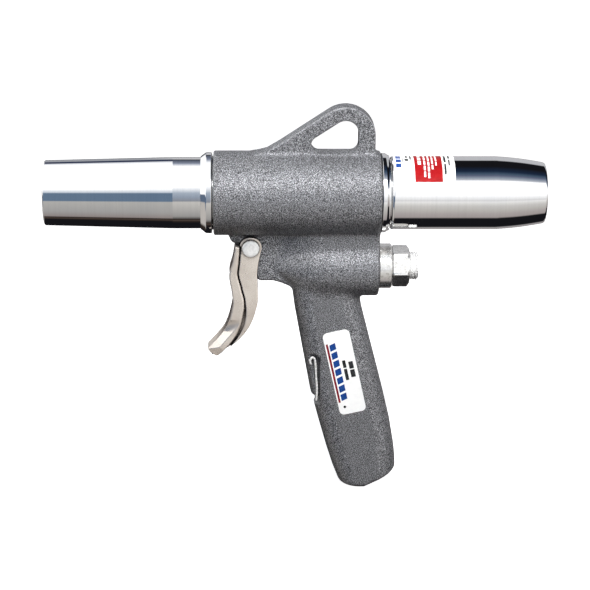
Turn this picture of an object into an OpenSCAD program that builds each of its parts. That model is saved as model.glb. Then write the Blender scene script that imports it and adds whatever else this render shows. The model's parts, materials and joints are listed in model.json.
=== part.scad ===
// Compressed-air vacuum gun: a venturi barrel on a cast pistol grip, with a squeeze trigger.
// The origin is the centre of the suction mouth. X runs along the barrel to the exhaust, Z is up.

/* [Barrel and tubes] */
// Suction mouth to the front face of the casting
nozzle_reach = 101; // [99:1:105]
// Length of the cast barrel
barrel_len = 100; // [98:1:104]
// Rear face of the casting to the exhaust end
exhaust_reach = 99; // [94:1:104]
// Outside radius of the cast barrel
barrel_r = 25.4; // [25:0.1:26]
// Radius of the bore that both tubes plug into
socket_r = 21.4; // [21:0.1:21.6]
// Outside radius at the suction mouth
mouth_r = 19.5; // [19:0.1:20]
// Outside radius of the exhaust tube
exhaust_r = 22; // [21.8:0.1:22.4]
// Outside radius at the exhaust end
exhaust_end_r = 18.5; // [18:0.1:20]
// Wall of both tubes
tube_wall = 2.2; // [1.8:0.1:2.4]
// Smallest radius of the air path
throat_r = 14.5; // [13:0.5:15]

/* [Hanging eye] */
// Thickness of the eye plate
eye_t = 11; // [8:0.5:12]
// Outside radius of the eye
eye_r = 17.9; // [17:0.1:19]

/* [Grip] */
// Half thickness of the grip
grip_half = 13; // [12.5:0.1:14]

/* [Trigger] */
// Half width of the lug that carries the trigger
lug_half = 5.2; // [5:0.1:5.4]
// Thickness of each trigger ear
ear_t = 2.4; // [2:0.1:2.6]
// Radius of the pivot pin
pin_r = 3; // [2.5:0.1:3]

/* [Air inlet] */
// Radius of the round valve cap
cap_r = 13.7; // [13.4:0.1:14.2]
// Width across the flats of the hexagon
hex_af = 22.2; // [21.5:0.1:23]
// Radius of the male thread
stub_r = 8.6; // [8.2:0.1:8.8]
// Radius of the female thread
inlet_bore_r = 5.7; // [5.2:0.1:6]

/* [Latch] */
// Diameter of the latch wire
wire_d = 1.5; // [1.3:0.1:1.6]

/* [Hidden] */
$fn = 96;

casting_grey = [0.36, 0.37, 0.38];
polished = [0.86, 0.86, 0.87];
nickel = [0.78, 0.74, 0.68];
brass = [0.78, 0.62, 0.30];
steel = [0.62, 0.63, 0.65];
rubber = [0.08, 0.08, 0.08];
white = [0.95, 0.95, 0.94];

run = 0.05;                                     // running clearance on a radius
x_front = nozzle_reach;                         // front face of the casting
x_rear = nozzle_reach + barrel_len;             // rear face of the casting
x_end = x_rear + exhaust_reach;                 // exhaust end
tube_bore_r = socket_r - tube_wall;             // inside radius of the tubes in the casting
edge = 1;                                       // broken edge on turned and cast faces
clear_y = 20;                                   // half length of cuts that pass right through

// Venturi, measured from the front face of the casting
x_inlet = x_front + 38;
x_slot = x_inlet + 12;
x_throat_end = x_inlet + 24;
slot_w = 0.4;
plenum_from = x_inlet + 6;
plenum_to = x_inlet + 18;
ring_wall = 2;
seal_r = 0.9;                                   // section radius of the venturi O-rings
seal_groove = 2.2;

// Pivot and valve
pivot = [x_front + 22.2, -32.8];                // X and Z of the trigger pivot
z_valve = -46.5;
boss_r = 18.1;                                  // valve boss at the rear
flare_x = x_front + 36.5;                       // where the lug starts to widen into the boss
flare_len = 32;
stem_r = 2;
stem_tip = x_front + 13.2;
x_gland = x_front + 35;
gland_len = 10;
gland_r = 4.2;
x_port = x_slot;                                // port from the valve up to the plenum
port_r = 4;
x_seat = x_front + 59;
seat_len = 4;
seat_hole_r = 5;
poppet_r = 7.6;
seal_t = 1.2;
disc_t = 3;                                     // poppet disc
gallery_r = 6.4;                                // air gallery between the gland and the seat
chamber_r = 9.2;
spigot_r = 11;
spigot_len = 13;
cap_len = 8;
cap_screw_r = 7;                                // thread that joins the fitting to the cap
screw_depth = 4;                                // how far that thread runs inside the boss
air_way_r = 4.2;
joint_gap = 0.6;                                // thin shadow line between cap and hexagon
hex_len = 10;
stub_len = 5.4;

// Trigger, outlines as X and Z from the pivot
ear_gap = 0.15;
ear_in = lug_half + ear_gap;
ear_out = ear_in + ear_t;
pad_half = ear_out + 0.5;
ear_r = 6.7;
pad_front = [[-9.3, 1], [-10.7, -8.3], [-12.9, -17.7], [-11.4, -28], [-11.1, -37.5],
             [-15.5, -52.5], [-26.4, -65.8]];
ear_rear = [[6.6, -1.2], [4.8, -9.4], [4.0, -17.4], [4.5, -29], [3.9, -37.5],
            [-0.8, -51], [-10.2, -62.2], [-22.8, -70.6]];
web_t = [2.4, 2.6, 2.8, 2.9, 3.0, 3.4, 3.6];    // pad thickness at each point of its outline

// Latch bail, X and Z in the object's frame
bail_pivot = [x_front + 59.2, -107];
bail_half = pad_half + 0.65 + wire_d / 2;       // legs pass beside the trigger
bail_hold = 3;                                  // depth of the two holes that hold the bail's ends
bail_leg = [
    [0, 0], [-0.5, 2.2], [0.9, 4.2], [2.4, 2.9], [2.9, -1.5], [3.4, -8], [3.9, -17], [3.6, -24.2]
];
slot_depth_half = bail_half - wire_d / 2 - 0.3; // half width of the metal left between the legs

// Grip stations: height, front X and rear X
grip_top = [[-46, 147.5, 188], [-72, 150.1, 191.1]];
grip_low = [[-72, 150.1, 191.1], [-126, 160.2, 205.1], [-165, 170.6, 213.2], [-182, 176.6, 214]];
grip_end = [-190, 181.5, 197.5];
station_t = 0.4;
rear_corner_r = 9;

label_tilt = 12.6;
label_size = [16.8, 55.4];
label_at = [x_front + 79.8, -111.3];
label_t = 0.3;

// A point of a smooth curve through the list p, at t from 0 to len(p) - 1
function spline_point(p, t) =
    let (n = len(p) - 1, i = min(floor(t), n - 1), u = t - i)
    let (a = p[max(i - 1, 0)], b = p[i], c = p[i + 1], d = p[min(i + 2, n)])
    b + 0.5 * u * ((c - a) + u * ((2 * a - 5 * b + 4 * c - d) + u * (3 * b - a - 3 * c + d)));
function spline(p, steps) = [for (k = [0 : steps * (len(p) - 1)]) spline_point(p, k / steps)];
function reversed(p) = [for (k = [len(p) - 1 : -1 : 0]) p[k]];
function arc(c, r, a0, a1, n) =
    [for (k = [0 : n]) let (a = a0 + (a1 - a0) * k / n) c + r * [cos(a), sin(a)]];
function direction(p, k) =
    let (d = p[min(k + 1, len(p) - 1)] - p[max(k - 1, 0)])
    d / norm(d);

// Turned about the barrel axis: outline as [radius, x]
module turned(outline) rotate([0, 90, 0]) rotate_extrude() polygon(outline);
// Turned about the valve axis
module valve_turned(outline) translate([0, 0, z_valve]) turned(outline);
// Rod along X on the valve axis
module valve_rod(r, x0, x1) translate([x0, 0, z_valve]) rotate([0, 90, 0]) cylinder(r = r, h = x1 - x0);
// Outline in X and Z, given thickness and centred on Y
module plate(y0, y1) translate([0, y1, 0]) rotate([90, 0, 0]) linear_extrude(y1 - y0) children();
// Rod along Y at a point in X and Z
module cross_rod(at, r, y0, y1) plate(y0, y1) translate(at) circle(r = r);
// O-ring with the given centre radius, section radius and X
module o_ring(centre_r, section_r, x) rotate([0, 90, 0]) translate([0, 0, x])
    rotate_extrude() translate([centre_r, 0]) circle(r = section_r, $fn = 32);

// Round wire along a planar path in X and Z, at the given Y
module wire(path, r, y) {
    sides = 12;
    n = len(path);
    ring = [for (k = [0 : n - 1]) let (d = direction(path, k), side = [d[1], -d[0]])
        for (s = [0 : sides - 1]) let (a = 360 * s / sides)
            [path[k][0] + side[0] * r * cos(a), y + r * sin(a), path[k][1] + side[1] * r * cos(a)]];
    skin = [for (k = [0 : n - 2]) for (s = [0 : sides - 1]) let (t = (s + 1) % sides)
        [k * sides + s, (k + 1) * sides + s, (k + 1) * sides + t, k * sides + t]];
    caps = [[for (s = [0 : sides - 1]) s], [for (s = [sides - 1 : -1 : 0]) (n - 1) * sides + s]];
    polyhedron(points = ring, faces = concat(skin, caps), convexity = 4);
}

// Closed coil about the X axis, centre line from x0 to x1
module coil(mean_r, wire_r, turns, x0, x1) {
    steps = 18 * turns;
    sides = 8;
    ring = [for (k = [0 : steps]) let (a = 360 * turns * k / steps, x = x0 + (x1 - x0) * k / steps)
        for (s = [0 : sides - 1]) let (b = 360 * s / sides, r = mean_r + wire_r * cos(b))
            [x + wire_r * sin(b), r * cos(a), r * sin(a)]];
    skin = [for (k = [0 : steps - 1]) for (s = [0 : sides - 1]) let (t = (s + 1) % sides)
        [k * sides + s, (k + 1) * sides + s, (k + 1) * sides + t, k * sides + t]];
    caps = [[for (s = [0 : sides - 1]) s], [for (s = [sides - 1 : -1 : 0]) steps * sides + s]];
    polyhedron(points = ring, faces = concat(skin, caps), convexity = 8);
}

// ---- Casting ----

boss_steps = 12;
function boss_width(k) = lug_half + (boss_r - lug_half) * sin(90 * k / boss_steps);
flare = [for (k = [0 : boss_steps]) [boss_width(k), flare_x + flare_len * k / boss_steps]];

module barrel() turned([
    [0, x_front], [barrel_r - edge, x_front], [barrel_r, x_front + edge],
    [barrel_r, x_rear - edge], [barrel_r - edge, x_rear], [0, x_rear]
]);

// Plate over the barrel: a sloping top edge that runs up to the eye
module eye_plate() {
    slope = 35.4;
    crest_r = 7.7;                              // top of the hole, under the crest of the eye
    corner_r = 5;                               // lower corners of the hole
    centre = [x_rear - 21.3, 36.3];
    toe = [x_front + 24, barrel_r - 1];
    fillet = [x_front + 40, barrel_r + 6.8];
    rim = arc(centre, eye_r, 90 + slope, 0, 16);
    plate(-eye_t / 2, eye_t / 2) difference() {
        polygon(concat(
            [toe, toe + [8, 2.6], fillet],
            rim,
            [centre + [eye_r, -12], [x_rear - edge, barrel_r - 3], [x_front + 24, 0]]
        ));
        hull() {
            translate(centre + [0, 1.7]) circle(r = crest_r, $fn = 48);
            translate(centre + [2.7, -6.3]) circle(r = corner_r, $fn = 48);
            translate(centre + [-15.4, -6.3]) circle(r = corner_r, $fn = 48);
        }
    }
}

// Narrow lug that carries the trigger, then the underside as far as the grip
module lug() {
    low = z_valve - 2.8;
    under_from = x_front + 26.4;
    dip = 17.7;                                 // slope of the underside ahead of the grip
    plate(-lug_half, lug_half) polygon([
        [x_front + 9, -20], [x_front + 9, -26], [x_front + 11.6, -30.4], [x_front + 16, -31],
        [x_front + 17.8, -33.4], [x_front + 20, -38.5], [x_front + 23, -46], [under_from, low],
        [x_front + 36, low], [x_front + 41, low - 1.6], [x_front + 60, low - 8], [x_front + 60, -20]
    ]);
    intersection() {
        translate([0, 0, low]) rotate([0, 90, 0]) cylinder(r = lug_half, h = x_front + 41);
        translate([under_from, -lug_half, low - lug_half]) cube([20, 2 * lug_half, lug_half + 1]);
    }
    translate([x_front + 36, 0, low]) rotate([0, 90 + dip, 0]) cylinder(r = lug_half, h = 20);
}

// Round valve boss, joined to the barrel by a narrower web
module boss() {
    web_top = 15;                               // depth below the barrel axis where the web stops
    web = 0.7;                                  // width of the web as a share of the boss
    half = concat(flare, [[boss_r, x_rear - edge], [boss_r - edge, x_rear]]);
    valve_turned(concat([[0, flare_x]], half, [[0, x_rear]]));
    translate([0, 0, z_valve]) linear_extrude(-z_valve - web_top)
        polygon(concat([for (p = half) [p[1], web * p[0]]], [for (p = reversed(half)) [p[1], -web * p[0]]]));
}

module station(s, r_front) {
    translate([s[1] + r_front, 0, s[0]]) cylinder(r = r_front, h = station_t, $fn = 40);
    for (side = [-1, 1])
        translate([s[2] - rear_corner_r, side * (grip_half - rear_corner_r), s[0]])
            cylinder(r = rear_corner_r, h = station_t, $fn = 32);
}

module grip() {
    front_r = 9;                                // rounding of the grip's foot
    rear_r = 7;
    hull() for (s = grip_top) station(s, grip_half);
    hull() {
        for (s = grip_low) station(s, grip_half);
        translate([grip_end[1] + front_r, 0, grip_end[0]]) cylinder(r = front_r, h = station_t, $fn = 40);
        translate([grip_end[2] - rear_r, 0, grip_end[0]]) cylinder(r = rear_r, h = station_t, $fn = 40);
    }
}

// Side pockets for the legs of the bail, with a notch across the front for its cross-bar
module latch_slot() {
    b = bail_pivot;
    bore = wire_d / 2 + run;
    pocket = concat(
        arc(b + [1.9, 3], 3.9, 180, 0, 8),
        [b + [6, -4], b + [6.5, -20], b + [6.2, -28], b + [-12, -28], b + [-12, 3]]
    );
    notch = [
        b + [-12, -22.6], b + [1, -22.6], b + [5.2, -22], b + [6.2, -26], b + [4, -28], b + [-12, -28]
    ];
    plate(slot_depth_half, clear_y) polygon(pocket);
    plate(-clear_y, -slot_depth_half) polygon(pocket);
    plate(-clear_y, clear_y) polygon(notch);
    cross_rod(b, bore, -slot_depth_half - 1, bail_hold - slot_depth_half);
    cross_rod(b, bore, slot_depth_half - bail_hold, slot_depth_half + 1);
}

module body_casting() {
    color(casting_grey) difference() {
        union() {
            barrel();
            eye_plate();
            lug();
            boss();
            grip();
        }
        translate([x_front - 1, 0, 0]) rotate([0, 90, 0]) cylinder(r = socket_r, h = barrel_len + 2);
        cross_rod(pivot, pin_r, -clear_y, clear_y);
        valve_rod(stem_r + run, x_front, x_gland + 1);
        valve_rod(gland_r, x_gland, x_seat);
        valve_rod(gallery_r, x_gland + gland_len, x_seat + 1);
        valve_rod(chamber_r, x_seat, x_rear);
        valve_rod(spigot_r, x_rear - spigot_len, x_rear + 1);
        translate([x_port, 0, z_valve]) cylinder(r = port_r, h = -z_valve - barrel_r + 8);
        latch_slot();
    }
}

// ---- Barrel parts ----

module nozzle_tube() {
    straight = 15;
    taper_end = 77;
    mouth_bore_r = mouth_r - tube_wall;
    color(polished) turned([
        [mouth_bore_r, 0], [mouth_r - 0.5, 0], [mouth_r, 0.5], [socket_r, taper_end],
        [socket_r, x_inlet], [tube_bore_r, x_inlet], [tube_bore_r, taper_end], [mouth_bore_r, straight]
    ]);
}

module front_collar() {
    r = barrel_r - 1.1;
    color(polished) turned([
        [socket_r, x_front - 7.6], [socket_r + 0.5, x_front - 7.6], [r, x_front - 4.4],
        [r, x_front - 1], [r - 0.4, x_front - 0.6], [socket_r + 1.4, x_front - 0.6],
        [socket_r + 1.4, x_front], [socket_r, x_front]
    ]);
}

module rear_collar() {
    r = barrel_r - 1.5;
    color(polished) turned([
        [socket_r, x_rear], [socket_r + 1.2, x_rear], [socket_r + 1.2, x_rear + 0.5], [r, x_rear + 0.5],
        [r, x_rear + 3], [socket_r + 1.4, x_rear + 4.4], [socket_r + 1.4, x_rear + 5.2],
        [socket_r, x_rear + 5.2]
    ]);
}

module exhaust_tube() {
    shoulder = x_rear + 6.3;
    bevel = 1;
    taper_from = x_end - 29.5;
    end_bore_r = exhaust_end_r - tube_wall + 0.3;
    steps = 6;
    bulge = 0.5;
    // Gently bowed taper down to the end
    taper = [for (k = [0 : steps]) let (u = k / steps, drop = (exhaust_r - exhaust_end_r) * u)
        [exhaust_r - drop + bulge * sin(180 * u), taper_from + (x_end - edge - taper_from) * u]];
    color(polished) difference() {
        turned(concat(
            [[tube_bore_r, x_throat_end], [socket_r, x_throat_end], [socket_r, shoulder],
             [exhaust_r - bevel / 2, shoulder], [exhaust_r, shoulder + bevel]],
            taper,
            [[exhaust_end_r - 0.6, x_end], [end_bore_r, x_end], [tube_bore_r, taper_from]]
        ));
        exhaust_label_band(1);
    }
}

module venturi_inlet() {
    lip_r = throat_r + 0.6;
    groove = x_inlet + 1.8;
    color(brass) turned([
        [tube_bore_r, x_inlet], [socket_r, x_inlet], [socket_r, groove], [socket_r - 2, groove],
        [socket_r - 2, groove + seal_groove], [socket_r, groove + seal_groove], [socket_r, plenum_from],
        [throat_r + 3, plenum_from], [throat_r + 3, x_slot - 4], [lip_r, x_slot - slot_w],
        [throat_r, x_slot - slot_w], [throat_r, x_slot - 2], [tube_bore_r - 1.2, x_inlet + 2]
    ]);
}

module venturi_throat() {
    groove = plenum_to + 2;
    color(brass) turned([
        [throat_r + 0.4, x_slot], [throat_r + 2.6, x_slot], [throat_r + 4, x_slot + 3],
        [throat_r + 4, plenum_to], [socket_r, plenum_to], [socket_r, groove], [socket_r - 1.9, groove],
        [socket_r - 1.9, groove + seal_groove], [socket_r, groove + seal_groove], [socket_r, x_throat_end],
        [tube_bore_r, x_throat_end], [tube_bore_r - 1.6, plenum_to + 1.5], [throat_r + 0.4, x_slot + 2]
    ]);
}

// Ring with drilled holes that holds the slot open and feeds the air through
module venturi_spacer() {
    holes = 8;
    hole_r = 1.8;
    groove_w = 8;
    color(steel) difference() {
        turned([
            [socket_r - ring_wall, plenum_from], [socket_r, plenum_from], [socket_r, x_slot - groove_w / 2],
            [socket_r - 1, x_slot - groove_w / 2], [socket_r - 1, x_slot + groove_w / 2],
            [socket_r, x_slot + groove_w / 2], [socket_r, plenum_to], [socket_r - ring_wall, plenum_to]
        ]);
        for (k = [0 : holes - 1])
            rotate([360 * (k + 0.5) / holes, 0, 0])
                translate([x_slot, 0, 0]) cylinder(r = hole_r, h = socket_r + 1);
    }
}

module venturi_seal_front() color(rubber) o_ring(socket_r - 1.03, seal_r, x_inlet + 1.8 + seal_groove / 2);
module venturi_seal_rear() color(rubber) o_ring(socket_r - 0.95, 0.85, plenum_to + 2 + seal_groove / 2);

// ---- Trigger ----

module trigger() {
    steps = 4;
    front = spline(pad_front, steps);
    thickness = spline([for (t = web_t) [t, 0]], steps);
    inner = [for (k = [0 : len(front) - 1]) let (d = direction(front, k))
        front[k] + thickness[k][0] * [-d[1], d[0]]];
    rear = spline(ear_rear, steps);
    heel = ear_rear[len(ear_rear) - 1];
    color(nickel) difference() {
        translate([pivot[0], 0, pivot[1]]) {
            plate(-pad_half, pad_half) polygon(concat(front, [heel], reversed(inner)));
            for (side = [-1, 1])
                plate(side > 0 ? ear_in : -ear_out, side > 0 ? ear_out : -ear_in) {
                    polygon(concat(inner, reversed(rear)));
                    circle(r = ear_r);
                }
        }
        cross_rod(pivot, pin_r + run, -clear_y, clear_y);
    }
}

module trigger_pin() {
    head_r = 5.2;
    head_y = -ear_out - ear_gap;
    tail_y = ear_out + 2.2;
    groove_y = ear_out + ear_gap;
    color(polished) translate([pivot[0], 0, pivot[1]]) rotate([90, 0, 0]) rotate_extrude() polygon([
        [0, -tail_y], [pin_r - 0.4, -tail_y], [pin_r, -tail_y + 0.4], [pin_r, -groove_y - 1],
        [pin_r - 0.5, -groove_y - 1], [pin_r - 0.5, -groove_y], [pin_r, -groove_y], [pin_r, -head_y],
        [head_r, -head_y], [head_r, -head_y + 0.9], [head_r - 0.6, -head_y + 1.4], [0, -head_y + 1.6]
    ]);
}

module trigger_pin_clip() {
    groove_y = ear_out + ear_gap;
    clip_t = 0.9;
    clip_r = 4.9;
    mouth_half = 2.1;
    color(steel) plate(groove_y + run, groove_y + run + clip_t) translate(pivot) difference() {
        circle(r = clip_r);
        circle(r = pin_r - 0.5);
        translate([0, -mouth_half]) square([clip_r + 1, 2 * mouth_half]);
    }
}

// ---- Valve ----

module valve_stem() {
    disc = x_seat + seat_len + seal_t;
    guide_r = 3.6;                              // stub that centres the spring
    color(steel) valve_turned([
        [0, stem_tip], [stem_r - 0.8, stem_tip], [stem_r, stem_tip + 0.8], [stem_r, disc],
        [poppet_r, disc], [poppet_r, disc + disc_t], [guide_r, disc + disc_t],
        [guide_r, disc + 2 * disc_t], [0, disc + 2 * disc_t]
    ]);
}

module poppet_seal() {
    x = x_seat + seat_len;
    color(rubber) valve_turned([
        [stem_r, x + run], [poppet_r, x + run], [poppet_r, x + seal_t], [stem_r, x + seal_t]
    ]);
}

module valve_seat() {
    x = x_seat;
    color(brass) valve_turned([
        [seat_hole_r, x], [chamber_r, x], [chamber_r, x + seat_len - 1], [poppet_r, x + seat_len - 1],
        [seat_hole_r + 1.4, x + seat_len], [seat_hole_r, x + seat_len]
    ]);
}

module valve_spring() {
    wire_r = 0.5;
    mean_r = 4.7;
    turns = 6;
    from = x_seat + seat_len + seal_t + disc_t + wire_r + run;
    to = x_rear - spigot_len - wire_r - run;
    color(steel) translate([0, 0, z_valve]) coil(mean_r, wire_r, turns, from, to);
}

module stem_gland() {
    groove = x_gland + 4;
    color(brass) valve_turned([
        [stem_r + run, x_gland], [gland_r, x_gland], [gland_r, x_gland + gland_len],
        [stem_r + run, x_gland + gland_len], [stem_r + run, groove + 1.6], [stem_r + 1.3, groove + 1.6],
        [stem_r + 1.3, groove], [stem_r + run, groove]
    ]);
}

module stem_seal() color(rubber) translate([0, 0, z_valve]) o_ring(stem_r + 0.68, 0.58, x_gland + 4.8);

module valve_cap() {
    face = x_rear;
    back = x_rear + cap_len;
    groove_d = 1.7;
    color(polished) valve_turned([
        [air_way_r, face - spigot_len], [spigot_r, face - spigot_len], [spigot_r, face],
        [spigot_r + 0.4, face], [spigot_r + 0.4, face + groove_d], [spigot_r + 2.2, face + groove_d],
        [spigot_r + 2.2, face], [cap_r - 0.4, face], [cap_r, face + 0.4], [cap_r, back - 0.6],
        [cap_r - 0.6, back], [cap_screw_r, back], [cap_screw_r, face - screw_depth],
        [air_way_r, face - screw_depth]
    ]);
}

module cap_seal() color(rubber) translate([0, 0, z_valve]) o_ring(spigot_r + 1.3, 0.8, x_rear + 0.86);

module inlet_fitting() {
    hex_from = x_rear + cap_len + joint_gap;
    hex_to = hex_from + hex_len;
    end = hex_to + stub_len;
    hex_r = hex_af / sqrt(3);
    thread_depth = 18;                          // depth of the female thread
    screw_end = x_rear - screw_depth + run;
    neck_r = hex_r - 2.6;
    turn = -22.5;                               // how far the hexagon is turned about its axis
    ridges = 3;
    pitch = stub_len / (ridges + 0.5);
    root_r = stub_r - 0.6;
    ridge = [[root_r, 0.15], [stub_r, 0.4], [stub_r, 0.65], [root_r, 0.95]];
    thread = [for (k = [0 : ridges - 1]) for (p = ridge) [p[0], hex_to + (k + p[1]) * pitch]];
    color(polished) difference() {
        union() {
            valve_turned([
                [0, screw_end], [cap_screw_r, screw_end], [cap_screw_r, x_rear + cap_len],
                [neck_r, x_rear + cap_len], [neck_r, hex_from], [0, hex_from]
            ]);
            intersection() {
                translate([hex_from, 0, z_valve]) rotate([turn, 0, 0]) rotate([0, 90, 0])
                    cylinder(r = hex_r, h = hex_len, $fn = 6);
                valve_turned([
                    [0, hex_from], [hex_r - 0.5, hex_from], [hex_r + 0.1, hex_from + 0.6],
                    [hex_r + 0.1, hex_to - 1.4], [hex_r - 1.9, hex_to], [0, hex_to]
                ]);
            }
            valve_turned(concat(
                [[0, hex_to], [root_r, hex_to]],
                thread,
                [[root_r, end - 0.1], [root_r - 0.3, end], [0, end]]
            ));
        }
        valve_rod(inlet_bore_r, end - thread_depth, end + 1);
        valve_rod(air_way_r, screw_end - 1, end);
    }
}

// ---- Latch and labels ----

module latch_bail() {
    r = wire_d / 2;
    held = slot_depth_half - bail_hold + 0.5;
    leg = [for (p = spline(bail_leg, 3)) bail_pivot + p];
    bar = bail_pivot + bail_leg[len(bail_leg) - 1];
    color(steel) {
        for (side = [-1, 1]) {
            wire(leg, r, side * bail_half);
            translate([bail_pivot[0], side * bail_half, bail_pivot[1]]) sphere(r = r + 0.1, $fn = 32);
        }
        cross_rod(bail_pivot, r, held, bail_half);
        cross_rod(bail_pivot, r, -bail_half, -held);
        cross_rod(bar, r, -bail_half - r, bail_half + r);
    }
}

module grip_label() {
    corner = 3;
    w = label_size[0] / 2 - corner;
    h = label_size[1] / 2 - corner;
    outline = concat(arc([w, h], corner, 0, 90, 6), arc([-w, h], corner, 90, 180, 6),
        arc([-w, -h], corner, 180, 270, 6), arc([w, -h], corner, 270, 360, 6));
    color(white) plate(-grip_half - label_t, -grip_half)
        translate(label_at) rotate(label_tilt) polygon(outline);
}

// Band of the exhaust label, set flush into the tube and reaching extra beyond its surface
module exhaust_label_band(extra) {
    from = x_rear + 7.4;
    length = 36.3;
    start = 30;                                 // lower edge, degrees above the horizontal
    sweep = 100;
    film = 0.2;
    rotate([-start, 0, 0]) translate([from, 0, 0]) rotate([0, 90, 0]) rotate([0, 0, -90])
        rotate_extrude(angle = -sweep) translate([exhaust_r - film, 0]) square([film + extra, length]);
}

module exhaust_label() color(white) exhaust_label_band(0);

body_casting();
nozzle_tube();
front_collar();
rear_collar();
exhaust_tube();
venturi_inlet();
venturi_spacer();
venturi_throat();
venturi_seal_front();
venturi_seal_rear();
trigger();
trigger_pin();
trigger_pin_clip();
valve_stem();
poppet_seal();
valve_seat();
valve_spring();
stem_gland();
stem_seal();
valve_cap();
cap_seal();
inlet_fitting();
latch_bail();
grip_label();
exhaust_label();
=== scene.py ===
"""Looks of the compressed-air vacuum gun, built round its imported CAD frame. Outlines are in mm."""
import json
import math

import bmesh
import bpy
import numpy as np
from mathutils import Matrix, Vector


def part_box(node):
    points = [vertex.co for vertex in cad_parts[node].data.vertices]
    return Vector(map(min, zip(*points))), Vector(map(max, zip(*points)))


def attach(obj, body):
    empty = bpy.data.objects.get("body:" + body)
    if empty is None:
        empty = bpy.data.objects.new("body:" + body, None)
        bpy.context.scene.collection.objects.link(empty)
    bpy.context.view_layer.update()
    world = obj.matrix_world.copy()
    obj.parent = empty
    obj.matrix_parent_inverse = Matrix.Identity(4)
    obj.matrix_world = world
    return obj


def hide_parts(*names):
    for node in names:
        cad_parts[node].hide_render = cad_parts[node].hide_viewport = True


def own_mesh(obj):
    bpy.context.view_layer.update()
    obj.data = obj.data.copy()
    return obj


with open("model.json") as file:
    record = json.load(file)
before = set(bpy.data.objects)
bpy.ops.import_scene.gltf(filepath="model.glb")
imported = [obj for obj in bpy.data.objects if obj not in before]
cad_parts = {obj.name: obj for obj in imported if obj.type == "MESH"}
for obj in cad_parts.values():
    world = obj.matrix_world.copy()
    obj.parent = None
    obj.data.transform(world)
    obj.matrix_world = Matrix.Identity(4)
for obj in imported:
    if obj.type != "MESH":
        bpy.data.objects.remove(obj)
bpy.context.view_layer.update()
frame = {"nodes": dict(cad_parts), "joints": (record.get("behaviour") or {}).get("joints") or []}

MM = 0.001


def box_mm(node):
    """Lowest and highest corner of a CAD node, in millimetres."""
    low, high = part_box(node)
    return np.array(low) / MM, np.array(high) / MM


# ---- sizes read from the frame

CAST_LOW, CAST_HIGH = box_mm("body_casting")
NOZZLE_HIGH = box_mm("nozzle_tube")[1]
EXHAUST_LOW, EXHAUST_HIGH = box_mm("exhaust_tube")
FITTING_HIGH = box_mm("inlet_fitting")[1]
CAP_LOW, CAP_HIGH = box_mm("valve_cap")
TRIGGER_LOW, TRIGGER_HIGH = box_mm("trigger")
PIN_LOW, PIN_HIGH = box_mm("trigger_pin")
BAIL_HIGH = box_mm("latch_bail")[1]
JOINTS = {j["name"]: j for j in frame["joints"]}

BARREL_R = CAST_HIGH[1]
SOCKET_R = NOZZLE_HIGH[1]
BARREL_X0 = CAST_LOW[0]
BARREL_X1 = BARREL_X0 + 100  # the barrel is 100 long
VALVE_Z = (CAP_LOW[2] + CAP_HIGH[2]) / 2
PIVOT = np.array(JOINTS["trigger_pivot"]["pos_m"]) / MM
BAIL_PIVOT = np.array(JOINTS["latch_swing"]["pos_m"]) / MM
PAD_HALF = TRIGGER_HIGH[1]
GRIP_HALF = 13.0
LUG_HALF = 5.2
BOSS_R = 18.1
BOSS_START, BOSS_LENGTH = 38.0, 30.5  # where the boss widens, from the barrel's front
WEB_SHARE = 0.7  # half width of the web as a share of the boss's
WIRE_R = 0.75
BAIL_HALF = BAIL_HIGH[1] - WIRE_R
TUBE_WALL = 2.2


# ---- distance fields

def blend_union(a, b, k):
    """Union of two distance fields with a fillet about k wide."""
    h = np.maximum(k - np.abs(a - b), 0)
    return np.minimum(a, b) - h * h / (4 * k)


def blend_cut(a, b, k):
    """Field a with field b cut away, its new edge rounded about k wide."""
    return -blend_union(-a, b, k)


def polygon_field(u, v, outline):
    """Signed distance in the plane to a closed outline, negative inside."""
    points = np.asarray(outline, float)
    distance = np.full(np.broadcast(u, v).shape, 1e9)
    sign = np.ones_like(distance)
    for (au, av), (bu, bv) in zip(points, np.roll(points, 1, axis=0)):
        eu, ev = bu - au, bv - av
        wu, wv = u - au, v - av
        t = np.clip((wu * eu + wv * ev) / (eu * eu + ev * ev), 0, 1)
        distance = np.minimum(distance, (wu - eu * t) ** 2 + (wv - ev * t) ** 2)
        above, below, left = v >= av, v < bv, eu * wv > ev * wu
        flips = (above & below & left) | (~above & ~below & ~left)
        sign = np.where(flips, -sign, sign)
    return sign * np.sqrt(distance)


def rounded_corner(a, b, r):
    """Overlap of two fields, each raised by r, with a round edge of radius r."""
    return np.minimum(np.maximum(a, b), 0) + np.hypot(np.maximum(a, 0), np.maximum(b, 0)) - r


def thick(flat, across, half, r):
    """Extrudes a plane field to +-half across, with its edges rounded by r."""
    return rounded_corner(flat + r, np.abs(across) - half + r, r)


def rod(radial, along, low, high, r, edge=0.0):
    """Round rod of radius r between low and high, its ends rounded by edge."""
    return thick(radial - r, along - (low + high) / 2, (high - low) / 2, edge)


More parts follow.
